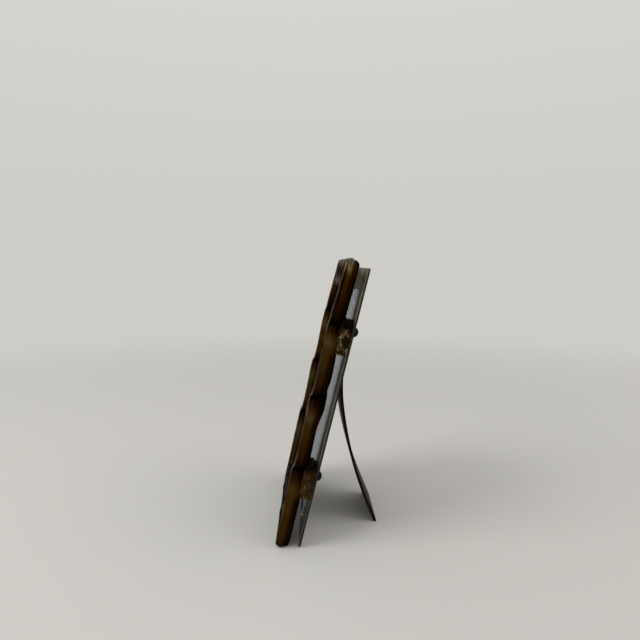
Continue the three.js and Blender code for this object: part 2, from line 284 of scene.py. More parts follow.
def signed_volume(points, faces):
    """A sixth of the sum of each triangle's triple product, positive where the faces point outwards."""
    first = points[faces[:, 0]]
    crosses = [np.cross(points[faces[:, i]], points[faces[:, i + 1]]) for i in (1, 2)]
    return np.einsum("ij,ij->", first, crosses[0] + crosses[1]) / 6


def shell(rings, loops=False):
    """Points and outward quads over rings; rings that don't loop get their middles as poles."""
    if not loops:
        first = np.broadcast_to(rings[0].mean(axis=0), rings[:1].shape)
        last = np.broadcast_to(rings[-1].mean(axis=0), rings[:1].shape)
        rings = np.concatenate([first, rings, last])
    points = rings.reshape(-1, 3)
    faces = grid_faces(rings.shape[0], rings.shape[1], loops)
    return points, faces if signed_volume(points, faces) > 0 else faces[:, ::-1]


def capped(grids):
    """The numbers of a row of shells that don't loop, with those of each end's ring again for its pole."""
    return np.concatenate([np.pad(grid, ((1, 1), (0, 0)), "edge").ravel() for grid in grids])


def piece(name, shells, finish, nodes, layers=None):
    """A smooth mesh of closed shells, its poles welded, that stands for CAD nodes and rides on a body."""
    starts = np.cumsum([0] + [len(points) for points, faces in shells])
    faces = np.concatenate([faces + start for (points, faces), start in zip(shells, starts)])
    mesh = bpy.data.meshes.new(name)
    mesh.from_pydata(np.concatenate([points for points, faces in shells]), [], faces)
    mesh.polygons.foreach_set("use_smooth", np.ones(len(faces), bool))
    for layer, values in (layers or {}).items():
        numbers = mesh.attributes.new(layer, "FLOAT", "POINT")
        numbers.data.foreach_set("value", np.ravel(values).astype(np.float32))
    welded = bmesh.new()
    welded.from_mesh(mesh)
    bmesh.ops.remove_doubles(welded, verts=welded.verts, dist=WELD_REACH)
    welded.to_mesh(mesh)
    welded.free()
    obj = bpy.data.objects.new(name, mesh)
    bpy.context.scene.collection.objects.link(obj)
    mesh.materials.append(finish)
    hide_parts(*nodes)
    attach(obj, "frame")
    return obj


def ripple(points, wave, seed):
    """Smooth noise, about -1 to 1: the mean of sines along random directions, each with its own phase."""
    rng = np.random.default_rng(seed)
    directions = rng.normal(size=(RIPPLE_SINES, 3))
    directions /= np.linalg.norm(directions, axis=1)[:, None]
    phases = rng.uniform(0, 2 * np.pi, RIPPLE_SINES)
    lengths = wave * rng.uniform(*RIPPLE_RANGE, RIPPLE_SINES)
    waves = np.sin(points @ (2 * np.pi * directions / lengths[:, None]).T + phases)
    return np.clip(waves.mean(axis=-1) * RIPPLE_GAIN, -1, 1)


# The casting's foot, and its bars' middle line: where it lies, and each leg's length from the top right
CAST_BOTTOM = CAST_FRONT * math.tan(LEAN) - TOE_SINK
LINE_X = (CAST_WIDTH - BAR_WIDTH) / 2
LINE_LOW = CAST_BOTTOM + BAR_WIDTH / 2
LINE_HIGH = CAST_TOP - BAR_WIDTH / 2
BEND_RUN = CAST_CORNER * math.pi / 2
RAIL_RUN = 2 * (LINE_X - CAST_CORNER)
SIDE_RUN = LINE_HIGH - LINE_LOW - 2 * CAST_CORNER
LEG_RUNS = np.array([BEND_RUN + RAIL_RUN, BEND_RUN + SIDE_RUN, BEND_RUN + RAIL_RUN, BEND_RUN + SIDE_RUN])


def centre_line(along):
    """The bars' middle line by its length: four legs, each a quarter round and a straight run on from it.

    Gives each point's place in x and z and its outward direction."""
    right, left = LINE_X - CAST_CORNER, CAST_CORNER - LINE_X
    high, low = LINE_HIGH - CAST_CORNER, LINE_LOW + CAST_CORNER
    centres = np.array([(right, high), (left, high), (left, low), (right, low)])
    ends = np.cumsum(LEG_RUNS)
    along = along % ends[-1]
    leg = np.searchsorted(ends, along, side="right")
    run = along - (ends - LEG_RUNS)[leg]
    angle = leg * np.pi / 2 + np.minimum(run, BEND_RUN) / CAST_CORNER
    out = np.stack([np.cos(angle), np.sin(angle)], axis=-1)
    onwards = np.stack([-np.sin(angle), np.cos(angle)], axis=-1)
    return centres[leg] + CAST_CORNER * out + np.maximum(run - BEND_RUN, 0)[:, None] * onwards, out


def neck_places():
    """Where the ten necks lie along the middle line, from the top rail round by the left side."""
    top = BEND_RUN + RAIL_RUN / 2
    bottom = top + LEG_RUNS[0] + LEG_RUNS[1]
    left_top = LEG_RUNS[0] + BEND_RUN + LINE_HIGH - CAST_CORNER
    right_foot = LEG_RUNS.sum() - LINE_HIGH + CAST_CORNER
    on_top, on_bottom = ([middle - RAIL_NECK, middle + RAIL_NECK] for middle in (top, bottom))
    left = [left_top - height for height in reversed(SIDE_NECKS["left"])]
    right = [right_foot + height for height in SIDE_NECKS["right"]]
    return np.array(on_top + left + on_bottom + right)


def rise_in_lobe(heights, necks):
    """How far up its side lobe a height lies, from 0 at the lobe's foot to 1 at its head."""
    marks = np.array([CAST_BOTTOM, *necks, CAST_TOP])
    lobe = np.clip(np.searchsorted(marks, heights, side="right") - 1, 0, len(marks) - 2)
    return (heights - marks[lobe]) / (marks[lobe + 1] - marks[lobe])


def bar_section(outer, inner, front, oval):
    """The bar's closed section at every station, as across and depth: an edge with a small front round, a
    crowned flank and a large back round on each side, the flat back, and in front two rims round a hollow
    that is dished by a power of the distance from its middle."""
    quarter = np.linspace(0, np.pi / 2, ROUND_STEPS)
    share = inner_steps(FLANK_STEPS)
    flat = inner_steps(FLAT_STEPS)
    dish = np.linspace(-1, 1, DISH_STEPS)
    groove = bell(share, GROOVE_PLACE, GROOVE_SPREAD)
    waist = CAST_BACK - BACK_ROUND
    same = np.ones_like(front)

    def edge(half):
        side = half - FLANK_CROWN
        front_across = side - FRONT_ROUND * (1 - np.sin(quarter))
        front_depth = front + FRONT_ROUND * (1 - np.cos(quarter))
        flank_across = side + FLANK_CROWN * 4 * share * (1 - share) - LIP_GROOVE * groove
        flank_depth = front + FRONT_ROUND + (waist - front - FRONT_ROUND) * share
        back_across = side - BACK_ROUND * (1 - np.cos(quarter))
        back_depth = same * (waist + BACK_ROUND * np.sin(quarter))
        across = np.concatenate([front_across, flank_across, back_across], axis=1)
        return across, np.concatenate([front_depth, flank_depth, back_depth], axis=1)

    rim_outer = outer - FLANK_CROWN - FRONT_ROUND
    rim_inner = inner - FLANK_CROWN - FRONT_ROUND
    lip_outer = (rim_outer - RIM_WIDTH) * oval
    lip_inner = (rim_inner - RIM_WIDTH) * oval
    outer_across, outer_depth = edge(outer)
    inner_across, inner_depth = edge(inner)
    back_outer, back_inner = outer_across[:, -1:], -inner_across[:, -1:]
    dish_across = (lip_outer - lip_inner) / 2 + (lip_outer + lip_inner) / 2 * dish
    dish_depth = front + HOLLOW * oval * (1 - np.abs(dish) ** HOLLOW_BLUNTNESS)
    columns = [
        (outer_across, outer_depth),
        (back_outer + (back_inner - back_outer) * flat, same * CAST_BACK + 0 * flat),
        (-inner_across[:, ::-1], inner_depth[:, ::-1]),
        (-rim_inner + (rim_inner - lip_inner) * flat, front + 0 * flat),
        (dish_across, dish_depth),
        (lip_outer + (rim_outer - lip_outer) * flat, front + 0 * flat),
    ]
    return (np.concatenate(parts, axis=1) for parts in zip(*columns))


def section_marks():
    """For each point of the bar's section: how far it is rubbed, 1 on the rims and below 0 in the groove
    behind them, where painted shade darkens it, and in the grimy hollow; the share of its patina's painted
    light that it keeps, least round the back, where painted shade falls; and how much painted shade it
    takes, most in the outer groove."""
    share = inner_steps(FLANK_STEPS)
    dish = np.linspace(-1, 1, DISH_STEPS)
    back, front = np.zeros(FLAT_STEPS), np.ones(FLAT_STEPS)
    groove = bell(share, GROOVE_PLACE, GROOVE_SPREAD)
    front_round = np.linspace(1, ROUND_WEAR, ROUND_STEPS)
    # Painted shade darkens the groove behind the rims
    edge_rim = np.concatenate([front_round, GROOVE_SHADE * groove, np.zeros(ROUND_STEPS)])
    hollow = np.abs(dish) ** LIP_SHARPNESS + HOLLOW_WEAR
    rim = np.concatenate([edge_rim, back, edge_rim[::-1], front, hollow, front])
    # Painted shade, darker down the flank's back, round the back and across it
    back_round_shade = np.linspace(*BACK_PAINTED_LIGHT, ROUND_STEPS)
    edge_painted_light = np.concatenate([np.ones(ROUND_STEPS), read_off(FLANK_PAINTED_LIGHT, share), back_round_shade])
    front_painted_light = np.ones(DISH_STEPS + 2 * FLAT_STEPS)
    light = np.concatenate([edge_painted_light, back + BACK_PAINTED_LIGHT[1], edge_painted_light[::-1], front_painted_light])
    # Painted shade in the outer groove behind the rim
    outer_painted_shade = [np.linspace(-1, 1, ROUND_STEPS).clip(0, 1), bell(share, GROOVE_SHADE_PLACE, GROOVE_SHADE_SPREAD)]
    painted_shade = np.concatenate(outer_painted_shade + [np.zeros(len(rim) - ROUND_STEPS - FLANK_STEPS)])
    return rim, light, painted_shade


def lobe_painted_light(heights, rise, middle):
    """How light the patina is drawn, all painted light: a painted highlight below each side lobe's head and
    painted shade at both necks, a painted highlight right up on the top corners, and the rails' middle
    lobes evenly brown between their necks."""
    side, top, foot = (read_off(table, rise) for table in (SIDE_LOBE_PAINTED_LIGHT, TOP_CORNER_PAINTED_LIGHT, FOOT_LOBE_PAINTED_LIGHT))
    necks = SIDE_NECKS["right"]
    tone = np.where(heights > necks[-1], top, np.where(heights < necks[0], foot, side))
    return tone * (1 - np.abs(middle) ** NECK_SHADE_SHARPNESS)


def casting_wear(rim, out_z, is_top):
    """How far the casting is worn: its rims by their polish, least on the rails, its hollows by their grime
    and its grooves by painted shade, and the top rail's outer side all over."""
    polish = RIM_POLISH - RAIL_DULLING * np.abs(out_z) ** 2
    # Painted shade in the grooves, grime in the hollows
    grime_and_shade = np.where(is_top, TOP_GRIME_AND_SHADE, SIDE_GRIME_AND_SHADE)
    worn = np.where(rim < 0, rim * grime_and_shade, rim * polish)
    is_outer = np.arange(len(rim)) < ROUND_STEPS + FLANK_STEPS
    cap = np.clip((out_z - CAP_START) / CAP_RUN, 0, 1) * is_outer
    return np.maximum(worn, CAP_WEAR * cap)


def casting_painted_light(light, painted_shade, z, out_x, rise, is_top):
    """The share of its painted light that the patina keeps: more beside the lugs, where less shade is
    painted, and little in the top corners' outer grooves, where painted shade falls."""
    # Painted light beside the lugs, where less shade is painted
    from_lug = np.min([np.abs(z - height) for height in LUG_MIDDLES.values()], axis=0)
    near_lug = np.clip((LUG_LENGTH / 2 + LUG_PAINTED_LIGHT_FADE / 2 - from_lug) / LUG_PAINTED_LIGHT_FADE, 0, 1)
    light = light + (1 - light) * LUG_PAINTED_LIGHT * near_lug
    # Painted shade in the top corners' outer groove
    corner_painted_shade = np.where(is_top, read_off(CORNER_SHADE_RISE, rise), 0) * np.abs(out_x)
    return light * (1 - GROOVE_SHADE_DARK * painted_shade * corner_painted_shade)


def casting(finish):
    """The lobed front: the bar's section carried round the middle line, swollen between necks by a power of
    1 less a power of the place in the lobe, with each side lobe leaning forward to its head, the top
    corners leaning back by the square of their rise, the back swelling and sinking a little along the side
    bars, and soft dents all over."""
    starts = neck_places()
    ends = np.append(starts[1:], starts[0] + LEG_RUNS.sum())
    even = np.arange(LOBE_STEPS) / LOBE_STEPS
    share = (even + (1 - np.cos(np.pi * even)) / 2) / 2
    middle = np.tile(2 * share - 1, len(starts))[:, None]
    place, out = centre_line((starts[:, None] + share * (ends - starts)[:, None]).ravel())
    x, z, out_x, out_z = place[:, :1], place[:, 1:], out[:, :1], out[:, 1:]
    left, right = SIDE_NECKS["left"], SIDE_NECKS["right"]
    rise = np.where(x < 0, rise_in_lobe(z, left), rise_in_lobe(z, right))
    is_top = z > right[-1]
    fill = (1 - np.abs(middle) ** LOBE_BLUNTNESS) ** LOBE_SHOULDER
    oval = np.sqrt(np.maximum(1 - np.abs(middle) ** OVAL_BLUNTNESS, OVAL_LEAST))
    spread = (np.abs(out) ** CORNER_SQUARENESS).sum(axis=1, keepdims=True)
    reach = (CAST_CORNER + BAR_WIDTH / 2) / spread ** (1 / CORNER_SQUARENESS) - CAST_CORNER
    outer = reach - NECK_OUTER * (1 - fill)
    inner = BAR_WIDTH / 2 - NECK_INNER * (1 - fill)
    set_back = np.where(is_top, SHINGLE / 2, SHINGLE * (1 - rise))
    front = CAST_FRONT + NECK_DIP * (1 - fill) + set_back * fill
    across, depth = bar_section(outer, inner, front, oval)
    depth = depth + np.where(is_top, TOP_LEAN * rise ** 2, 0)
    swell = read_off(BACK_SWELL, z - np.where(x < 0, left[1], right[1])) * np.abs(out_x)
    depth = depth + swell * ((depth - CAST_FRONT) / (CAST_BACK - CAST_FRONT)).clip(0, 1) ** SWELL_FADE
    spots = np.stack([x + across * out_x, depth, z + across * out_z], axis=-1)
    fine, broad = (ripple(spots, wave, seed) for wave, seed in DENT_RIPPLES)
    dent = DENT * (1 + fine) * (1 + broad) / 2
    across = across * (1 - dent / DENT_ACROSS)
    depth = depth + ((CAST_FRONT + CAST_BACK) / 2 - depth) * dent / DENT_THROUGH
    rings = stand(x + across * out_x, depth, z + across * out_z)
    rings[..., 2] = np.maximum(rings[..., 2], 0)
    rim, light, painted_shade = section_marks()
    # Painted light: a painted highlight below each lobe's head, and painted shade at the necks, round the
    # back and in the top corners' groove
    tone = lobe_painted_light(z, rise, middle) * casting_painted_light(light, painted_shade, z, out_x, rise, is_top)
    layers = {"tone": tone, "rim": casting_wear(rim, out_z, is_top)}
    return piece("casting", [shell(rings, True)], finish, ["front_casting"], layers)


def lug_profile():
    """The lug's L-shaped section with its braze flare at the casting, as x and y: even steps round the
    corners' outline, softened by a running mean."""
    back, front = -PLATE_THICKNESS - JOINT_GAP, CAST_BACK + SEAT_GAP
    seat, step = PANE_EDGE + PANE_CLEARANCE, PANE_FRONT - PANE_CLEARANCE
    toe, flare = PANE_EDGE - LUG_TOE, LUG_OUTER + BRAZE_FLARE
    corners = np.array([
        (LUG_OUTER, back), (seat, back), (seat, step), (toe, step), (toe, front), (flare, front),
        (flare, front + FLARE_RUN[0]), (LUG_OUTER, front + FLARE_RUN[1]), (LUG_OUTER, back),
    ])
    lengths = np.concatenate([[0], np.cumsum(np.linalg.norm(np.diff(corners, axis=0), axis=1))])
    steps = np.linspace(0, lengths[-1], PROFILE_STEPS, endpoint=False)
    outline = np.stack([np.interp(steps, lengths, corners[:, i]) for i in (0, 1)], axis=-1)
    shifts = range(-PROFILE_SOFTNESS, PROFILE_SOFTNESS + 1)
    return sum(np.roll(outline, shift, axis=0) for shift in shifts) / len(shifts)


def lug_block(level, side, level_share, seed):
    """The lug's section carried up the plate, drawn in at both ends by a quarter round, with a crust of
    ripples that is thickest on the outer face. Also gives the ripples."""
    profile = lug_profile()
    middle = np.array([profile[:, 0].mean(), (CAST_BACK - PLATE_THICKNESS) / 2])
    near_end = np.maximum(np.abs(level_share) * LUG_LENGTH / 2 - LUG_LENGTH / 2 + LUG_END, 0) / LUG_END
    shrink = 1 - LUG_DRAW * (1 - np.sqrt(np.maximum(1 - near_end ** 2, 0)))
    x = middle[0] + (profile[:, 0] - middle[0]) * shrink
    y = middle[1] + (profile[:, 1] - middle[1]) * shrink
    z = LUG_MIDDLES[level] + level_share * LUG_LENGTH / 2 + 0 * x
    spots = np.stack([x, y, z], axis=-1)
    lump = ripple(spots, CRUST_WAVES[0], seed) + FINE_CRUST * ripple(spots, CRUST_WAVES[1], seed + 1)
    crust = CRUST[level]
    outside = np.clip((x - PANE_EDGE) / (LUG_OUTER - PANE_EDGE), 0, 1)
    x = np.minimum(x + crust * outside * lump, CAST_WIDTH / 2 - EDGE_MARGIN)
    y = y + CRUST_THROUGH * crust * outside * lump
    y = np.clip(y, CAST_BACK + SEAT_GAP, -PLATE_THICKNESS - EDGE_MARGIN)
    return stand(SIDES[side] * x, y, z + CRUST_UP * crust * np.abs(level_share) * lump), lump


def filler_bead(level, side, level_share, seed):
    """A rippled round bead up the lug's corner at the casting, its size falling off by a power of the
    distance from its middle. Also gives the ripples."""
    turn = np.linspace(0, 2 * np.pi, BEAD_STEPS, endpoint=False)
    swell = np.sqrt(np.maximum(1 - level_share ** BEAD_BLUNTNESS, BEAD_LEAST))
    x = BEAD_SPOT[0] + BEAD_SIZE[0] * swell * np.cos(turn)
    y = BEAD_SPOT[1] + BEAD_SIZE[1] * swell * np.sin(turn)
    z = LUG_MIDDLES[level] + level_share * (LUG_LENGTH / 2 - BEAD_INSET) + 0 * turn
    lump = ripple(np.stack([x, y, z], axis=-1), BEAD_WAVE, seed)
    crust = CRUST[level]
    x = np.minimum(x + BEAD_CRUST[0] * crust * lump, CAST_WIDTH / 2 - EDGE_MARGIN)
    return stand(SIDES[side] * x, y + BEAD_CRUST[1] * crust * lump, z), lump


def lug(level, side, finish, seed):
    """A crusted block with its filler bead, at levels that crowd towards its ends as a sine does."""
    level_share = np.sin(np.linspace(-np.pi / 2, np.pi / 2, LUG_STEPS))[:, None]
    block, lump = lug_block(level, side, level_share, seed)
    bead, bead_lump = filler_bead(level, side, level_share, seed + 2)
    levels = [level_share + 0 * lump, level_share + 0 * bead_lump]
    layers = {"lump": capped([lump, bead_lump]), "level": capped(levels)}
    shells = [shell(block), shell(bead)]
    name = f"{level}_{side}"
    return piece(f"lug_block_{name}", shells, finish, [f"lug_{name}"], layers)


def pin(radius, low, high, x, z):
    """A round pin along y: three rings, the first drawn in by the chamfer."""
    angle = np.linspace(0, 2 * np.pi, PIN_STEPS, endpoint=False)
    depth = np.array([low, low + PIN_CHAMFER, high])[:, None]
    width = np.array([radius - PIN_CHAMFER, radius, radius])[:, None]
    return shell(stand(x + width * np.cos(angle), depth, z + width * np.sin(angle)))


def domed_head(diameter, height, seat, x, z, slot=0.0, slot_depth=0.0):
    """A half ellipsoid on a flat seat, cut into chords from side to side; the chords between the slot's two
    walls are lowered to its floor."""
    radius = diameter / 2
    arc = np.linspace(np.pi / 2, np.pi / 2 - np.arccos(slot / diameter), CHORD_STEPS)
    walls = np.array([slot / 2, slot / 6, -slot / 6, -slot / 2]) if slot else np.array([])
    chords = np.concatenate([radius * np.sin(arc), walls, -radius * np.sin(arc[::-1])])[:, None]
    is_floor = np.isin(np.arange(len(chords)), CHORD_STEPS + np.arange(len(walls)))[:, None]
    half = np.sqrt(np.maximum(radius ** 2 - chords ** 2, 0))
    sweep = np.sin(np.linspace(-np.pi / 2, np.pi / 2, SWEEP_STEPS))
    dome = height * np.sqrt(np.maximum(1 - (half ** 2 * sweep ** 2 + chords ** 2) / radius ** 2, 0))
    dome = np.where(is_floor, np.minimum(dome, height - slot_depth), dome)
    over = stand(x + chords, seat + dome, z + half * sweep)
    under = stand(x + chords, seat + 0 * dome, z + half * sweep[::-1])
    return shell(np.concatenate([over, under], axis=1))


def screw(level, side, finish):
    """A round-head slotted screw through the plate into its lug."""
    x, z = SIDES[side] * SCREW_OFFSET, SCREW_HEIGHTS[level]
    height = SCREW_HEAD_HEIGHT + JOINT_GAP - SEAT_GAP
    head = domed_head(SCREW_HEAD, height, SEAT_GAP, x, z, SCREW_SLOT, SCREW_SLOT_DEPTH)
    shank = pin(SCREW_SHANK / 2, SCREW_TIP, SEAT_GAP + PIN_LAP, x, z)
    name = f"{level}_{side}"
    return piece(f"round_screw_{name}", [head, shank], finish, [f"screw_{name}"])


def rivet(side, finish):
    """A plain domed rivet through the strut's flange and the plate."""
    x, seat = SIDES[side] * RIVET_OFFSET, JOINT_GAP + STRUT_THICKNESS + SEAT_GAP
    head = domed_head(RIVET_HEAD, RIVET_HEAD_HEIGHT, seat, x, RIVET_HEIGHT)
    shank = pin(RIVET_SHANK / 2, RIVET_TIP, seat + PIN_LAP, x, RIVET_HEIGHT)
    return piece(f"domed_rivet_{side}", [head, shank], finish, [f"strut_rivet_{side}"])


def strut_line():
    """The leaf's middle line from its top down, as y, z and angle: a straight flange, then round bends."""
    middle = JOINT_GAP + STRUT_THICKNESS / 2
    flange = np.linspace(STRUT_TOP, STRUT_BEND_HEIGHT, FLANGE_STEPS)
    runs = [np.stack([0 * flange + middle, flange, 0 * flange], axis=-1)]
    for radius, turn in STRUT_BENDS:
        y, z, start = runs[-1][-1]
        angle = start + turn * np.linspace(0, 1, BEND_STEPS + 1)[1:]
        y = y + radius * (math.cos(start) - np.cos(angle))
        z = z - radius * (np.sin(angle) - math.sin(start))
        runs.append(np.stack([y, z, angle], axis=-1))
    return np.concatenate(runs)


def strut(finish):
    """The bent leaf: a thin rectangle with rounded edges carried down its line, widening to the foot, and
    run out along its last direction until every point meets the ground. Below its bend it twists a little,
    by a smooth step that then eases off, so that its left edge hangs nearer the plate."""
    y, z, angle = strut_line().T[:, :, None]
    half = (STRUT_ROOT_WIDTH + (STRUT_FOOT_WIDTH - STRUT_ROOT_WIDTH) * (STRUT_TOP - z) / STRUT_TOP) / 2
    turn = np.linspace(0, np.pi / 2, EDGE_STEPS)
    flat = STRUT_THICKNESS / 2 - STRUT_EDGE_ROUND
    inset = STRUT_EDGE_ROUND * (np.cos(turn) - 1)
    bulge = flat + STRUT_EDGE_ROUND * np.sin(turn)
    side = np.concatenate([inset[::-1], inset])
    through = np.concatenate([bulge[::-1], -bulge])
    across = np.concatenate([half + side, -(half + side[::-1])], axis=1)
    depth = np.concatenate([through, through[::-1]])
    rings = stand(across, y + depth * np.cos(angle), z + depth * np.sin(angle))
    below = (STRUT_BEND_HEIGHT - z) / TWIST_RUN
    start = np.clip(below, 0, 1)
    twist = STRUT_TWIST * start ** 2 * (3 - 2 * start) * (1 - TWIST_EASE * np.maximum(below - 1, 0))
    rings[..., 1] -= twist * (1 - across / half) / 2 * MM
    heading = angle[-1, 0] - LEAN
    fall = rings[-1, :, 2]
    foot = rings[-1] + np.stack([0 * fall, fall * math.tan(heading), -fall], axis=-1)
    tail = rings[-1] + (foot - rings[-1]) * np.linspace(0, 1, TAIL_STEPS + 1)[1:, None, None]
    rings = np.concatenate([rings, tail])
    edge = np.tile(np.pad(np.ones(2 * EDGE_STEPS - 2), 1), 2)
    layers = {"edge": np.broadcast_to(edge, (len(rings) + 2, len(edge)))}
    return piece("bent_leaf", [shell(rings)], finish, ["strut_leaf"], layers)


class Value:
    """A node's output. Arithmetic on it adds Math nodes beside it."""

    def __init__(self, nodes, socket):
        self.nodes = nodes
        self.socket = socket

    def math(self, operation, *values):
        """A Math node on values and numbers."""
        return self.nodes.add("ShaderNodeMath", {"operation": operation}, dict(enumerate(values)))

    def __add__(self, other):
        return self.math("ADD", self, other)

    def __sub__(self, other):
        return self.math("SUBTRACT", self, other)

    def __rsub__(self, other):
        return self.math("SUBTRACT", other, self)

    def __mul__(self, other):
        return self.math("MULTIPLY", self, other)

    def __pow__(self, other):
        return self.math("POWER", self, other)

    def __abs__(self):
        return self.math("ABSOLUTE", self)

    __radd__ = __add__
    __rmul__ = __mul__

    def at_least(self, other):
        """The larger of the two."""
        return self.math("MAXIMUM", self, other)

    def ease(self, low, high):
        """0 below low, 1 above high, and a smooth step between them."""
        settings = {"interpolation_type": "SMOOTHSTEP"}
        return self.nodes.add("ShaderNodeMapRange", settings, {0: self, 1: low, 2: high})


class Nodes:
    """The nodes of one finish, of the world or of the floor."""

    def __init__(self, owner):
        owner.use_nodes = True
        self.tree = owner.node_tree
        self.tree.nodes.clear()

    def add(self, kind, settings, inputs, output=0):
        """One node: its settings first, then the values or links of its inputs. Gives one output."""
        node = self.tree.nodes.new(kind)
        for name, setting in settings.items():
            if name == "stops":
                for place, colour in setting[2:]:
                    node.color_ramp.elements.new(place)
                for stop, (place, colour) in zip(node.color_ramp.elements, setting):
                    stop.position, stop.color = place, colour
            else:
                setattr(node, name, setting)
        for name, value in inputs.items():
            if isinstance(value, Value):
                self.tree.links.new(value.socket, node.inputs[name])
            else:
                node.inputs[name].default_value = value
        return Value(self, node.outputs[output]) if node.outputs else None

    def spot(self):
        """Object coordinates, in metres."""
        return self.add("ShaderNodeTexCoord", {}, {}, "Object")

    def turned(self, scale=(1, 1, 1)):
        """Object coordinates turned upright with the plate, with z up it from its foot, then scaled."""
        inputs = {"Vector": self.spot(), "Center": (0, PLATE_FOOT * MM, 0), "Angle": LEAN}
        rotated = self.add("ShaderNodeVectorRotate", {"rotation_type": "X_AXIS"}, inputs)
        return self.add("ShaderNodeMapping", {}, {"Vector": rotated, "Scale": scale})

    def part(self, vector, axis):
        """One of a vector's three numbers."""
        return self.add("ShaderNodeSeparateXYZ", {}, {0: vector}, axis)

    def layer(self, name):
        """One of the piece's own number layers."""
        return self.add("ShaderNodeAttribute", {"attribute_name": name}, {}, "Fac")

    def noise(self, scale, detail, roughness, vector=None, distortion=0.0):
        """Cloudy noise round a half, with its scale in waves to the metre."""
        inputs = {"Vector": vector or self.spot(), "Scale": scale, "Detail": detail}
        inputs |= {"Roughness": roughness, "Distortion": distortion}
        return self.add("ShaderNodeTexNoise", {}, inputs, "Fac")

    def mix(self, share, first, second):
        """From the first colour to the second."""
        return self.add("ShaderNodeMix", {"data_type": "RGBA"}, {0: share, 6: first, 7: second}, 2)

    def bump(self, height, distance, strength):
        """A rough surface's normal, with the distance in metres."""
        inputs = {"Height": height, "Distance": distance, "Strength": strength}
        return self.add("ShaderNodeBump", {}, inputs)

    def surface(self, inputs, worn=None, share=0.0):
        """The shader, with a share of a second one laid over it."""
        shader = self.add("ShaderNodeBsdfPrincipled", {}, inputs)
        if worn:
            over = self.add("ShaderNodeBsdfPrincipled", {}, worn)
            shader = self.add("ShaderNodeMixShader", {}, {0: share, 1: shader, 2: over})
        self.add("ShaderNodeOutputMaterial", {}, {"Surface": shader})


def srgb(red, green, blue):
    """A colour by its screen values from 0 to 255, as the linear colour that a shader takes."""
    shares = np.array([red, green, blue]) / 255
    linear = np.where(shares <= 0.04045, shares / 12.92, ((shares + 0.055) / 1.055) ** 2.4)
    return (*linear.tolist(), 1.0)


def new_finish(name):
    """A new material and its nodes."""
    material = bpy.data.materials.new(name)
    return material, Nodes(material)


def patina_brass():
    """Brass under a dark brown patina, with painted shade that makes it nearly black in the necks and a
    painted highlight of olive gold below each lobe's head, worn to dull pale metal along the rims, where
    chips of patina remain."""
    material, nodes = new_finish("patina_brass")
    blotch = nodes.noise(150, 5, 0.6)
    speck = nodes.noise(1000, 3, 0.6)
    streak = nodes.noise(110, 6, 0.65, nodes.turned((1, 1, 0.25)), 0.6)
    tone, rim = nodes.layer("tone"), nodes.layer("rim")
    # The tone is painted light and shade; negative rim values darken the hollows with grime and the grooves
    # with painted shade
    shade = tone + (blotch - 0.5) * 0.3 + (streak - 0.5) * 0.3 * tone + rim.ease(-0.1, -0.6) * -0.28
    bright = (rim + (blotch - 0.5) * 0.8 + (speck - 0.5) * 0.5).ease(0.45, 0.85)
    places = (0.0, 0.3, 0.6, 0.78, 1.0)
    red = [srgb(6, 2, 0), srgb(42, 19, 2), srgb(66, 42, 12), srgb(82, 64, 42), srgb(122, 102, 74)]
    olive = [srgb(6, 4, 1), srgb(38, 26, 3), srgb(62, 48, 17), srgb(80, 67, 44), srgb(118, 106, 80)]
    ramps = [
        nodes.add("ShaderNodeValToRGB", {"stops": list(zip(places, colours))}, {0: shade})
        for colours in (red, olive)
    ]
    # The painted highlights lean to olive
    hue = nodes.noise(45, 4, 0.6).ease(0.42, 0.58) * 0.6 + tone.ease(0.4, 0.75) * 0.4
    grain = nodes.bump(speck + blotch * 1.6, 0.12 * MM, 0.5)
    brown = {
        "Base Color": nodes.mix(hue, *ramps),
        "Metallic": 0.85,
        "Roughness": 0.37 + (blotch - 0.5) * 0.3,
        "Specular IOR Level": 0.1,
        "Specular Tint": srgb(120, 92, 64),
        "Normal": grain,
    }
    metal = {
        "Base Color": nodes.mix(blotch.ease(0.35, 0.65), srgb(72, 63, 52), srgb(106, 98, 87)),
        "Metallic": 1.0,
        "Roughness": 0.38 + (speck - 0.5) * 0.2,
        "Normal": grain,
    }
    nodes.surface(brown, metal, bright * 0.9)
    return material


def brazed_brass(name, crust):
    """A brazed block: dark brown scale, scorched in patches and darkened towards its top by painted shade,
    with gold where the filler ran and pale flux left on the lumps."""
    material, nodes = new_finish(name)
    lump, level = nodes.layer("lump"), nodes.layer("level")
    patch = nodes.noise(330, 5, 0.65, distortion=0.8)
    run = nodes.noise(300, 4, 0.6, nodes.turned((1, 1, 0.35)), 1.2)
    vein = nodes.noise(420, 6, 0.7, nodes.turned((1, 1, 0.3)), 1.6)
    speck = nodes.noise(1700, 3, 0.6)
    # Painted shade: the block darkens to nearly black towards its top
    painted_shade = (level + (patch - 0.5) * 0.9).ease(0.65 - 0.5 * crust, 1.05 - 0.45 * crust)
    gold = (vein + lump * 0.14).ease(0.52, 0.66) * (1 - painted_shade) * crust
    flux = (run + lump * 0.08 + (speck - 0.5) * 0.2).ease(0.54, 0.66) * (1 - painted_shade) * crust * crust
    colour = nodes.mix(speck.ease(0.35, 0.7), srgb(40, 23, 4), srgb(66, 42, 10))
    colour = nodes.mix(patch.ease(0.4, 0.56) * (0.8 * crust), colour, srgb(12, 7, 2))
    colour = nodes.mix(gold, colour, srgb(108, 88, 50))
    colour = nodes.mix(flux, colour, srgb(138, 134, 112))
    colour = nodes.mix(painted_shade * 0.9, colour, srgb(4, 2, 0))
    nodes.surface({
        "Base Color": colour,
        "Metallic": 0.2 + gold * 0.3 - flux * 0.2,
        "Roughness": 0.6 + flux * 0.3 - gold * 0.14,
        "Specular IOR Level": 0.04,
        "Normal": nodes.bump(patch + speck * 0.5 + flux, 0.3 * MM, 0.7),
    })
    return material


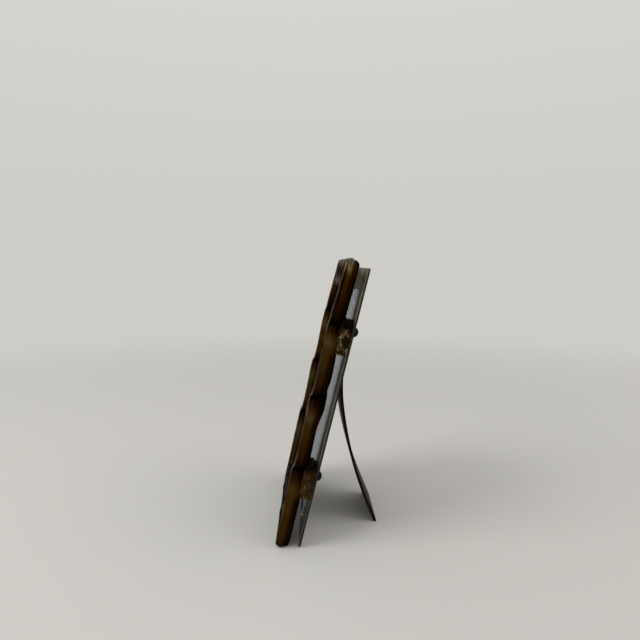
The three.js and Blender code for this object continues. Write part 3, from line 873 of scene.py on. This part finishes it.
def from_middle(nodes):
    """How far a point lies from the plate's middle, across it and up it."""
    upright = nodes.turned()
    return abs(nodes.part(upright, "X")), abs(nodes.part(upright, "Z") - PLATE_HEIGHT / 2 * MM)


def at_edge(distance, reach):
    """1 in the thin band at a sheet's edge, which lies at the given reach."""
    return distance.ease((reach - EDGE_START) * MM, (reach - EDGE_FULL) * MM)


def plate_edge(nodes):
    """1 on the plate's cut edge: how far a point lies out from the rounded outline's corner centres."""
    across, up = from_middle(nodes)
    sides = (across - (PLATE_WIDTH / 2 - PLATE_CORNER) * MM).at_least(0)
    ends = (up - (PLATE_HEIGHT / 2 - PLATE_CORNER) * MM).at_least(0)
    return at_edge((sides * sides + ends * ends) ** 0.5, PLATE_CORNER)


def pane_edge(nodes):
    """1 on the pane's ground edges, by how near a point is to the outline's sides and ends."""
    across, up = from_middle(nodes)
    return at_edge(across, PANE_EDGE).at_least(at_edge(up, PANE_HALF_HEIGHT))


def leaf_edge(nodes):
    """1 on the strut's cut edges, which the leaf carries as a layer."""
    return nodes.layer("edge")


def sheet_steel(name, edge_mask, light, dark, top, edge_colour):
    """Cold-rolled sheet: faint rolling lines up the sheet, cloudy tarnish, painted light that makes it
    lighter and warmer towards its top, and dark cut edges."""
    material, nodes = new_finish(name)
    lines = nodes.noise(2200, 3, 0.6, nodes.turned((1, 1, 0.012)))
    cloud = nodes.noise(35, 6, 0.65)
    speck = nodes.noise(900, 3, 0.6)
    edge = edge_mask(nodes)
    colour = nodes.mix((cloud + (lines - 0.5) * 0.2 + (speck - 0.5) * 0.2).ease(0.25, 0.75), dark, light)
    height = nodes.part(nodes.turned(), "Z")
    # Painted light: lighter and warmer towards the sheet's top
    painted_light_at_top = (height + (cloud - 0.5) * (TOP_PAINTED_LIGHT_BLUR * MM)).ease(TOP_PAINTED_LIGHT_START * MM, TOP_PAINTED_LIGHT_END * MM)
    colour = nodes.mix(painted_light_at_top * 0.8, colour, top)
    colour = nodes.mix(edge * 0.95, colour, edge_colour)
    nodes.surface({
        "Base Color": colour,
        "Metallic": 0.7 - edge * 0.7,
        "Roughness": 0.44 + (cloud - 0.5) * 0.3 + (lines - 0.5) * 0.1 + edge * 0.3,
        "Specular IOR Level": 0.15,
        "Specular Tint": srgb(150, 138, 122),
        "Normal": nodes.bump(lines + speck * 0.6, 0.02 * MM, 0.5),
    })
    return material


def black_steel():
    """Black-oxide screws, a little rubbed."""
    material, nodes = new_finish("black_steel")
    speck = nodes.noise(1500, 4, 0.6)
    nodes.surface({
        "Base Color": nodes.mix(speck.ease(0.45, 0.8), srgb(4, 4, 4), srgb(16, 15, 14)),
        "Roughness": 0.36 + (speck - 0.5) * 0.3,
        "Specular IOR Level": 0.08,
        "Normal": nodes.bump(speck, 0.04 * MM, 0.5),
    })
    return material


def pane_glass():
    """Thin clear glass with a trace of smears and dull ground edges. It darkens at a slant, and edge-on its
    shading leans a little to the right, so that from that side it mirrors the room in front and not the far
    bar."""
    material, nodes = new_finish("pane_glass")
    smear = nodes.noise(60, 5, 0.6, nodes.turned((1, 1, 0.4)), 1.0)
    rough_edge = pane_edge(nodes)
    facing = nodes.add("ShaderNodeLayerWeight", {}, {"Blend": 0.5}, "Facing")
    upright = nodes.add("ShaderNodeTexCoord", {}, {}, "Normal")
    inside = nodes.add("ShaderNodeNewGeometry", {}, {}, "Backfacing")
    edge_on = (facing + 0.45 * inside).ease(0.62, 0.8)
    tilt = nodes.add("ShaderNodeCombineXYZ", {}, {"X": edge_on * PANE_TILT})
    leaning = nodes.add("ShaderNodeVectorMath", {"operation": "ADD"}, {0: upright, 1: tilt})
    clear = nodes.mix(facing.ease(0.5, 0.95), srgb(240, 244, 249), srgb(88, 97, 114))
    nodes.surface({
        "Base Color": nodes.mix(rough_edge, clear, srgb(186, 193, 195)),
        "Roughness": 0.1 + smear.ease(0.5, 0.8) * 0.1 + rough_edge * 0.5,
        "Transmission Weight": 1.0,
        "IOR": 1.45,
        "Specular Tint": srgb(206, 217, 242),
        "Normal": nodes.add("ShaderNodeVectorMath", {"operation": "NORMALIZE"}, {0: leaning}),
    })
    return material


def print_paper():
    """A blank matte card with fibres and a slight cloud."""
    material, nodes = new_finish("print_paper")
    fibre = nodes.noise(1400, 5, 0.7, nodes.turned((1, 1, 0.3)))
    cloud = nodes.noise(40, 3, 0.5)
    nodes.surface({
        "Base Color": nodes.mix(fibre * 0.6 + cloud * 0.4, srgb(140, 137, 130), srgb(166, 163, 155)),
        "Roughness": 0.8 + (fibre - 0.5) * 0.2,
        "Normal": nodes.bump(fibre, 0.03 * MM, 0.5),
    })
    return material


def dress(node, material):
    """Gives a CAD node that keeps its own shape a finish."""
    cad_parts[node].data.materials.clear()
    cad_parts[node].data.materials.append(material)


casting(patina_brass())
brazing = {
    "upper": brazed_brass("brazed_crust", crust=1.0),
    "lower": brazed_brass("brazed_scale", crust=0.3),
}
for number, (level, side) in enumerate(itertools.product(LUG_MIDDLES, SIDES)):
    lug(level, side, brazing[level], FIRST_SEED + SEED_STEP * number)
oxide = black_steel()
for level, side in itertools.product(SCREW_HEIGHTS, SIDES):
    screw(level, side, oxide)
# Its top colour is painted light on the strut's upper part
leaf_steel = sheet_steel(
    "strut_steel", leaf_edge,
    light=srgb(74, 62, 52), dark=srgb(46, 36, 29), top=srgb(70, 58, 46), edge_colour=srgb(12, 10, 9),
)
strut(leaf_steel)
for side in SIDES:
    rivet(side, leaf_steel)
# Its top colour is painted light on the plate's upper part
plate_steel = sheet_steel(
    "plate_steel", plate_edge,
    light=srgb(178, 176, 167), dark=srgb(142, 140, 133), top=srgb(214, 202, 174), edge_colour=srgb(4, 3, 3),
)
dress("back_plate", plate_steel)
dress("glass_pane", pane_glass())
dress("print_card", print_paper())


def surroundings():
    """A pale room all round, a little lighter overhead."""
    world = bpy.data.worlds.new("studio")
    bpy.context.scene.world = world
    nodes = Nodes(world)
    height = nodes.part(nodes.add("ShaderNodeTexCoord", {}, {}, "Generated"), "Z")
    colour = nodes.mix(height.ease(0.0, 1.0), srgb(206, 204, 199), srgb(226, 226, 226))
    room = nodes.add("ShaderNodeBackground", {}, {"Color": colour})
    nodes.add("ShaderNodeOutputWorld", {}, {"Surface": room})


def pale_floor():
    """A matte square just under the frame that fades into the room."""
    mesh = bpy.data.meshes.new("floor")
    corners = np.array([(-1, -1), (1, -1), (1, 1), (-1, 1)]) * FLOOR_REACH
    mesh.from_pydata(np.column_stack([corners, np.full(4, -FLOOR_DROP)]), [], [(0, 1, 2, 3)])
    floor = bpy.data.objects.new("floor", mesh)
    bpy.context.scene.collection.objects.link(floor)
    material, nodes = new_finish("pale_floor")
    mesh.materials.append(material)
    away = nodes.add("ShaderNodeVectorMath", {"operation": "LENGTH"}, {0: nodes.spot()}, "Value")
    matte = nodes.add("ShaderNodeBsdfDiffuse", {}, {"Color": srgb(198, 196, 191)})
    clear = nodes.add("ShaderNodeBsdfTransparent", {}, {})
    faded = nodes.add("ShaderNodeMixShader", {}, {0: away.ease(*FLOOR_FADE), 1: matte, 2: clear})
    nodes.add("ShaderNodeOutputMaterial", {}, {"Surface": faded})


def lamps():
    """A broad key light from the front and a softer fill from behind, both turned to the frame's middle."""
    for name, (place, size, power) in LAMPS.items():
        lamp = bpy.data.lights.new(name, "AREA")
        lamp.size = size
        lamp.energy = power
        holder = bpy.data.objects.new(name, lamp)
        holder.location = place
        towards = np.subtract(LAMP_TARGET, place)
        tip = math.acos(-towards[2] / np.linalg.norm(towards))
        holder.rotation_euler = (tip, 0, math.atan2(towards[1], towards[0]) - math.pi / 2)
        bpy.context.scene.collection.objects.link(holder)


def photo_camera():
    """The photograph's view: close to the frame's right side, level with its top, looking a little down."""
    lens = bpy.data.cameras.new("photo_view")
    lens.sensor_width = SENSOR_WIDTH
    lens.lens = SENSOR_WIDTH * FOCAL_PIXELS / PICTURE_PIXELS
    lens.clip_start = 10 * MM
    camera = bpy.data.objects.new("photo_view", lens)
    camera.location = np.add(CAMERA_PLACE, (0, PLATE_FOOT, 0)) * MM
    camera.rotation_euler = (math.pi / 2 - CAMERA_DOWN, 0, math.pi / 2 - CAMERA_ASIDE)
    bpy.context.scene.collection.objects.link(camera)
    bpy.context.scene.camera = camera


surroundings()
pale_floor()
lamps()
photo_camera()
bpy.context.scene.view_settings.view_transform = "Standard"
